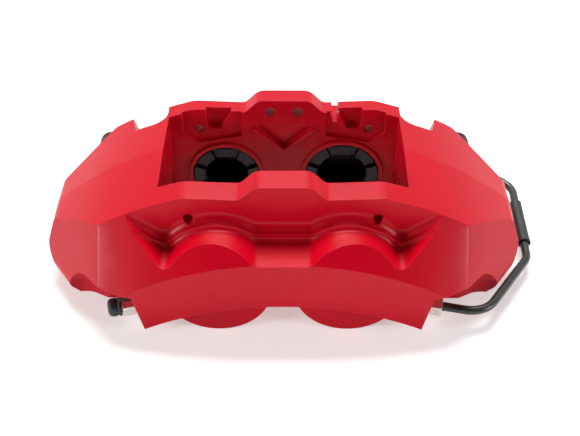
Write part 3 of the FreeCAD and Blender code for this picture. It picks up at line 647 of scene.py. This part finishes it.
def cap_profile(radius, length):
    """Round the cap's wall, from its mouth over the outside and back along the inside."""
    inner = radius - CAP_WALL
    return [
        (0, inner),
        *((along * MM, radius - inset * MM) for along, inset in MOUTH_OUTLINE),
        *((length - back * MM, radius - inset * MM) for back, inset in DOME_OUTLINE),
        (length, AXIS_GAP),
        (length - DOME_WALL, AXIS_GAP),
        *((length - back * MM, inner - inset * MM) for back, inset in DOME_INSIDE),
    ]


RING_PROFILE = [(RING_START, NECK_RADIUS), (RING_START, RING_RADIUS),
                (RING_END, RING_RADIUS), (RING_END, NECK_RADIUS)]


def strap_path(radius):
    return [
        (RING_START + RING_WIDTH / 2, RING_RADIUS - 0.4 * MM),  # sunk in the ring
        (RING_END, STRAP_TOP - 0.5 * MM),
        (RING_END + 1.6 * MM, STRAP_TOP),                       # level over the hexagon
        (-1.2 * MM, STRAP_TOP),
        (0.4 * MM, STRAP_TOP - 0.8 * MM),
        (1.4 * MM, radius - 0.3 * MM),                          # sunk in the cap
    ]


print("ring from", round(RING_START / MM, 1), "to", round(RING_END / MM, 1), "mm")

# %% [markdown]
# ## Making the two caps
# Each cap is built along X and then turned onto its screw's axis, which the record's pull joint
# gives. On the real caliper the ring stays with the screw and the cap is pulled away from it, with
# the strap stretching between.

# %% The two caps
VOXEL = 0.16 * MM
EASE_FACTOR = 0.5
EASE_STEPS = 4


def melted(builder, name):
    """One soft moulding out of the forms that a builder holds."""
    mesh = bpy.data.meshes.new(name + "_rubber")
    builder.to_mesh(mesh)
    builder.free()
    raw = add_object(name + "_raw", mesh)
    melt = raw.modifiers.new("melt", "REMESH")
    melt.mode = "VOXEL"
    melt.voxel_size = VOXEL
    melt.use_smooth_shade = True
    ease = raw.modifiers.new("ease", "SMOOTH")
    ease.factor = EASE_FACTOR
    ease.iterations = EASE_STEPS
    moulding = evaluated_mesh(raw)
    moulding.materials.clear()
    moulding.materials.append(rubber)
    return moulding


def bleed_cap(side):
    node_name = "bleed_cap_" + side
    low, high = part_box(node_name)
    radius = (high.z - low.z) / 2
    joint = next(j for j in frame["joints"] if j["name"] == node_name + "_pull")
    origin, axis = Vector(joint["pos_m"]), Vector(joint["axis"]).normalized()
    length = max((vertex.co - origin).dot(axis) for vertex in nodes[node_name].data.vertices)
    builder = bmesh.new()
    turned_mesh(builder, cap_profile(radius, length))
    turned_mesh(builder, RING_PROFILE)
    strap_mesh(builder, strap_path(radius), STRAP_WIDTH, STRAP_THICKNESS)
    up = Vector((0, 0, 1))
    turn = Matrix((axis, up.cross(axis), up)).transposed().to_4x4()
    bmesh.ops.transform(builder, matrix=Matrix.Translation(origin) @ turn, verts=builder.verts)
    bmesh.ops.recalc_face_normals(builder, faces=builder.faces)
    piece = add_object("tethered_cap_" + side, melted(builder, node_name))
    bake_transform(piece)
    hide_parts(node_name)
    return piece


for side in ("outboard", "inboard"):
    piece = bleed_cap(side)
    print(piece.name, "has", len(piece.data.polygons), "faces")

# %% [markdown]
# ## The sleeve on the pipe
# A soft sleeve keeps the crossover pipe from chafing. Rubber tube that has been pushed over a pipe
# is never quite straight-sided: it ripples a little and its cut ends flare. The radius is a
# formula along the sleeve, so the shape stays inside the room that the frame gives it.

# %% Pipe sleeve
SLEEVE_STEPS = 60
SLEEVE_WALL = 1.2 * MM
SLEEVE_MARGIN = 0.24 * MM
FLARE = 0.22 * MM
FLARE_REACH = 0.04
RIPPLE = 0.06 * MM
RIPPLE_QUICK, RIPPLE_SLOW, RIPPLE_SHIFT = 23.0, 7.0, 0.6


def sleeve_radius(t, outer):
    """Outer radius at t, from 0 at one end to 1 at the other."""
    end = min(t, 1 - t)
    flare = FLARE * math.exp(-end / FLARE_REACH)
    ripple = RIPPLE * math.sin(t * RIPPLE_QUICK) * math.sin(t * RIPPLE_SLOW + RIPPLE_SHIFT)
    return outer - SLEEVE_MARGIN + flare + ripple


def pipe_sleeve():
    low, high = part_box("pipe_sleeve")
    outer = (high.z - low.z) / 2
    inner = outer - SLEEVE_WALL
    near = Vector((low.x + outer, low.y, (low.z + high.z) / 2))
    far = Vector((high.x - outer, high.y, (low.z + high.z) / 2))
    length = (far - near).length
    profile = [(length * step / SLEEVE_STEPS, sleeve_radius(step / SLEEVE_STEPS, outer))
               for step in range(SLEEVE_STEPS + 1)]
    builder = bmesh.new()
    turned_mesh(builder, profile + [(length, inner), (0, inner)])
    bmesh.ops.recalc_face_normals(builder, faces=builder.faces)
    mesh = bpy.data.meshes.new("rippled_sleeve")
    builder.to_mesh(mesh)
    builder.free()
    turn = Vector((1, 0, 0)).rotation_difference(far - near).to_matrix().to_4x4()
    mesh.transform(Matrix.Translation(near) @ turn)
    mesh.materials.append(rubber)
    mesh.shade_smooth()
    piece = add_object("rippled_sleeve", mesh)
    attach(piece, "root")
    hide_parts("pipe_sleeve")
    return piece


sleeve = pipe_sleeve()
print("sleeve has", len(sleeve.data.polygons), "faces")

# %% [markdown]
# ## The floor
# The caliper lies on a plain pale floor. The floor glows a little, but only in what the camera and
# reflections see of it, so it looks pale without lighting the caliper from below.

# %% Floor
FLOOR_GLOW = 0.45
FLOOR_SIZE = 8.0


def pale_floor():
    material, tree, place = new_material("pale_floor")
    grain = noise(tree, place, size_mm=120.0, detail=2.0)
    shader = add_node(tree, "ShaderNodeBsdfPrincipled", Roughness=0.8,
                      Base_Color=wandering_colour(tree, grain, "#F3F2F1", "#F7F6F6"))
    seen = add_node(tree, "ShaderNodeLightPath")
    shown = add_node(tree, "ShaderNodeMath", {"operation": "MAXIMUM"},
                     _0=(seen, "Is Camera Ray"), _1=(seen, "Is Glossy Ray"))
    glow = add_node(tree, "ShaderNodeMath", {"operation": "MULTIPLY"},
                    _0=(shown, "Value"), _1=FLOOR_GLOW)
    emission = add_node(tree, "ShaderNodeEmission", Strength=(glow, "Value"))
    both = add_node(tree, "ShaderNodeAddShader", _0=(shader, "BSDF"), _1=(emission, "Emission"))
    add_node(tree, "ShaderNodeOutputMaterial", Surface=(both, "Shader"))
    return material


half_floor = FLOOR_SIZE / 2
floor_height = CAD_BOUNDS[0][2]
corners = [(x * half_floor, y * half_floor, floor_height)
           for x, y in ((-1, -1), (1, -1), (1, 1), (-1, 1))]
floor_mesh = bpy.data.meshes.new("floor")
floor_mesh.from_pydata(corners, [], [(0, 1, 2, 3)])
floor_mesh.materials.append(pale_floor())
floor = add_object("floor", floor_mesh)
print("floor at", round(floor_height, 4))

# %% [markdown]
# ## Lights
# One soft light hangs overhead and a little behind, two stand low at the sides, and a weak one
# fills from the front, close to the floor. Each row of the table is a light's name, its place,
# the point it is aimed at, its width and height in metres, and its power in watts.

# %% Lights
LIGHTS = (
    ("overhead_softbox", (0.0, 0.45, 1.15), (0.0, -0.04, 0.0), (0.8, 0.4), 18.5),
    ("left_softbox", (-1.4, -0.60, 0.42), (0.0, -0.08, 0.03), (0.35, 0.35), 12.0),
    ("right_softbox", (1.4, -0.60, 0.42), (0.0, -0.08, 0.03), (0.35, 0.35), 9.5),
    ("low_front_fill", (0.0, -1.6, 0.14), (0.0, -0.1, 0.03), (1.2, 0.22), 2.6),
)
for name, place, aim, size, power in LIGHTS:
    data = bpy.data.lights.new(name, "AREA")
    data.shape = "RECTANGLE"
    data.size, data.size_y = size
    data.energy = power
    light = add_object(name, data)
    light.location = place
    light.rotation_euler = (Vector(aim) - Vector(place)).to_track_quat("-Z", "Y").to_euler()
print(len(LIGHTS), "lights")

# %% [markdown]
# ## The room
# The world is plain white to the camera, and gives hardly any light of its own. In reflections it
# is bright beyond the caliper and nearly dark on the camera's side, as a studio is, so that the
# sloping front face keeps its full colour.

# %% World
DARK_SIDE_Y, BRIGHT_SIDE_Y = -0.45, 0.3
DARK_SIDE = 0.03
REFLECTED = 0.95
FILL = 0.03
BACKDROP = 1.0


def mix_levels(tree, factor, first, second):
    mix = add_node(tree, "ShaderNodeMix", {"data_type": "FLOAT"}, _0=factor, _2=first, _3=second)
    return mix, 0


world = bpy.data.worlds.new("studio")
bpy.context.scene.world = world
world.use_nodes = True
sky = world.node_tree
sky.nodes.clear()
rays = add_node(sky, "ShaderNodeLightPath")
direction = add_node(sky, "ShaderNodeTexCoord")
split = add_node(sky, "ShaderNodeSeparateXYZ", Vector=(direction, "Generated"))
side_level = add_node(sky, "ShaderNodeMapRange", {"interpolation_type": "SMOOTHSTEP"},
                      Value=(split, "Y"), From_Min=DARK_SIDE_Y, From_Max=BRIGHT_SIDE_Y,
                      To_Min=DARK_SIDE)
reflected = add_node(sky, "ShaderNodeMath", {"operation": "MULTIPLY"},
                     _0=(side_level, "Result"), _1=REFLECTED)
unseen = mix_levels(sky, (rays, "Is Glossy Ray"), FILL, (reflected, "Value"))
shown = add_node(sky, "ShaderNodeMath", {"operation": "MAXIMUM"},
                 _0=(rays, "Is Camera Ray"), _1=(rays, "Is Transmission Ray"))
strength = mix_levels(sky, (shown, "Value"), unseen, BACKDROP)
white = add_node(sky, "ShaderNodeBackground", Color=linear("#FFFFFF"), Strength=strength)
add_node(sky, "ShaderNodeOutputWorld", Surface=(white, "Background"))

bpy.context.scene.view_settings.view_transform = "Standard"
print("lit")
